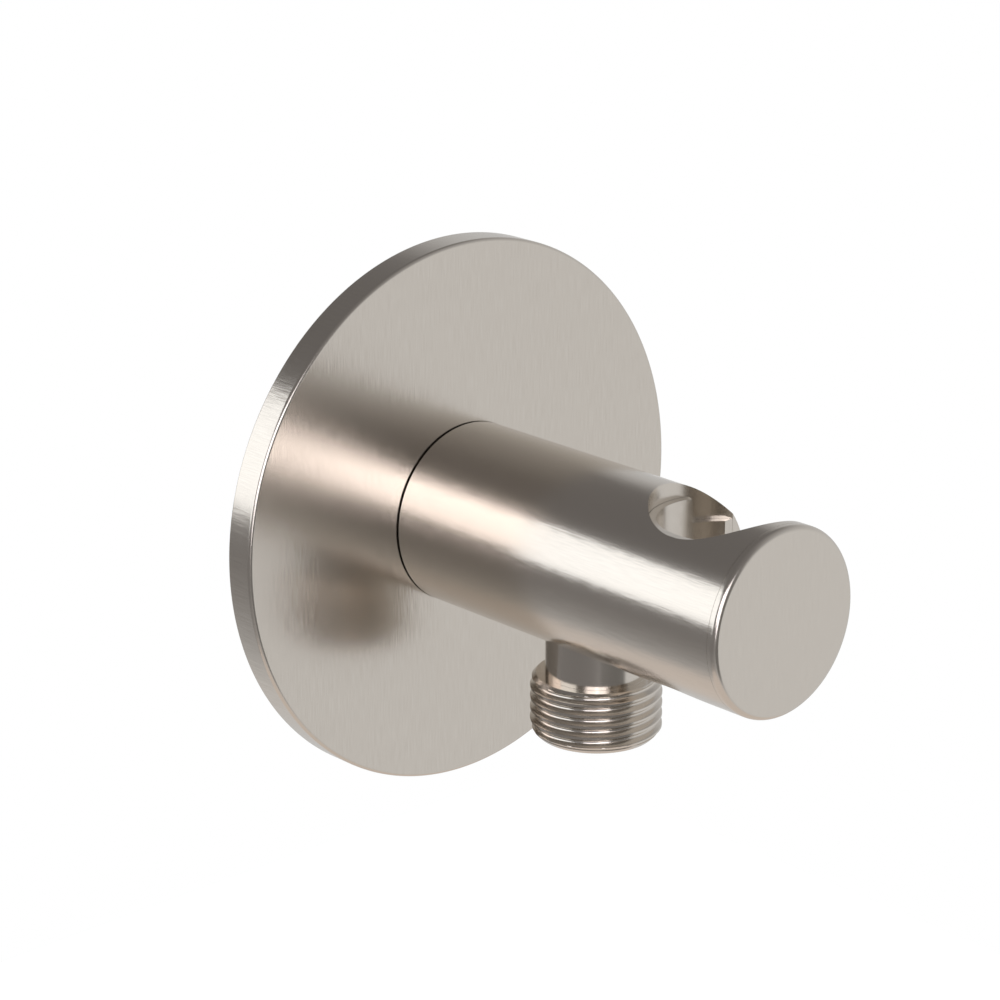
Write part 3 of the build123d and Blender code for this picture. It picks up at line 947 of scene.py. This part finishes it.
def below_arm(radius, angle, depth):
    """Angle from +X about the upright axis of the outlet, depth below the arm's axis."""
    x = radius * np.cos(angle)
    y = outlet_axis_y + radius * np.sin(angle)
    return np.stack([x, y, -depth], axis=-1)


# In mm, as (radius, depth): from the bore's top over the seal groove down the neck to the ring.
outlet_outer = plain_rows([
    (4.6, outlet_top), (6.6, outlet_top), (6.6, 5.6375), (5.75, 5.6375), (5.75, 6.7625),
    (6.6, 6.7625), (6.6, 7.1), (7.45, 7.1), (7.45, 11.193), (neck_radius, 11.193),
    (neck_radius, 19.08),
])
outlet_ring = [(r * 1e-3, ring_height * 1e-3, "ring") for r in ring_radii]
# From the thread's lower end over the mouth up the valve's bore.
outlet_inner = plain_rows([
    (9.95, 28.36), (9.95, 28.57), (9.43, 29.09), (9.30, outlet_foot), (6.9, outlet_foot),
    (6.9, 27.6), (6.25, 27.6), (6.25, 13.4), (4.6, 13.4), (4.6, outlet_top),
])
# The inner rows' first corner is the thread's last row and their last is where the outer rows
# begin, so both are left out.
outlet = turned_piece(
    "hose_outlet", outlet_outer + outlet_ring + thread_rows(outlet_thread) + outlet_inner[1:-1],
    below_arm, outlet_thread, ring_start=neck_radius * 1e-3,
)
outlet.data.materials.append(satin_nickel)
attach(outlet, "fitting")
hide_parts("outlet_nipple")

# %% [markdown]
# ## Inlet nipple
# The nipple screws into the pipe in the wall and the arm slides onto its front, held by the lock
# screw in the vee groove. It stays inside, so it is raw brass. A hexagon in its front takes the key
# that turns it in. It is the same kind of closed grid, with two seal grooves and the six-sided bore.

# %% Inlet nipple
inlet_low, inlet_high = box_mm("inlet_nipple")
back_end, front_end = -inlet_high[1], -inlet_low[1]
inlet_thread = dict(
    crest=back_end * 1e-3, handed=1, first=back_end * 1e-3, last=0.5e-3, chamfer_first=1.2e-3,
    chamfer_last=0.0,
)
key_flat = 6.0e-3
key_from, key_to = front_end * 1e-3, 15.0e-3

# In mm, as (radius, station): the bore and the back end, then the front with its grooves.
inlet_back = plain_rows([(5.5, 15.0), (5.5, back_end), (9.2775, back_end)])
inlet_front = plain_rows([
    (10.4775, 0.5), (9.40, 0.5), (9.40, 0.9), (9.45, 1.0), (9.45, 8.3), (8.25, 9.5), (8.25, 11.9),
    (9.45, 13.1), (9.45, 15.89), (8.15, 15.89), (8.15, 17.577), (9.45, 17.577), (9.45, 19.523),
    (8.15, 19.523), (8.15, 21.21), (9.45, 21.21), (9.45, 23.4), (8.85, front_end),
    (7.2, front_end),
])
inlet_key = [(key_flat, key_from, "hexagon"), (key_flat, key_to, "hexagon")]
# The thread's own rows end in the corners beside it, so the plain rows leave those out, and at the
# front the support point after the corner too.
inlet = turned_piece(
    "inlet_nipple_threaded",
    inlet_back[:-1] + thread_rows(inlet_thread) + inlet_front[2:] + inlet_key,
    along_arm, inlet_thread, hexagon=key_flat,
)
inlet.data.materials.append(raw_brass)
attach(inlet, "fitting")
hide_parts("inlet_nipple")

# %% [markdown]
# ## Finishes for the CAD pieces
# The other solids already have the right shape, so each keeps its mesh and gets its finish in the
# material slots.

# %% Finishes on the nodes
finish_of = {
    "cradle_insert": cradle_nickel,
    "lock_screw": stainless,
    "plate_seal": rubber,
    "plate_o_ring": rubber,
    "inlet_o_ring_back": rubber,
    "inlet_o_ring_front": rubber,
    "outlet_o_ring": rubber,
    "valve_o_ring": rubber,
    "valve_seal": rubber,
    "valve_housing": moulded_white,
    "valve_guide": moulded_white,
    "valve_poppet": moulded_blue,
}
for name, finish in finish_of.items():
    slots = nodes[name].data.materials
    for index in range(len(slots)):
        slots[index] = finish
print("finished nodes:", len(finish_of))
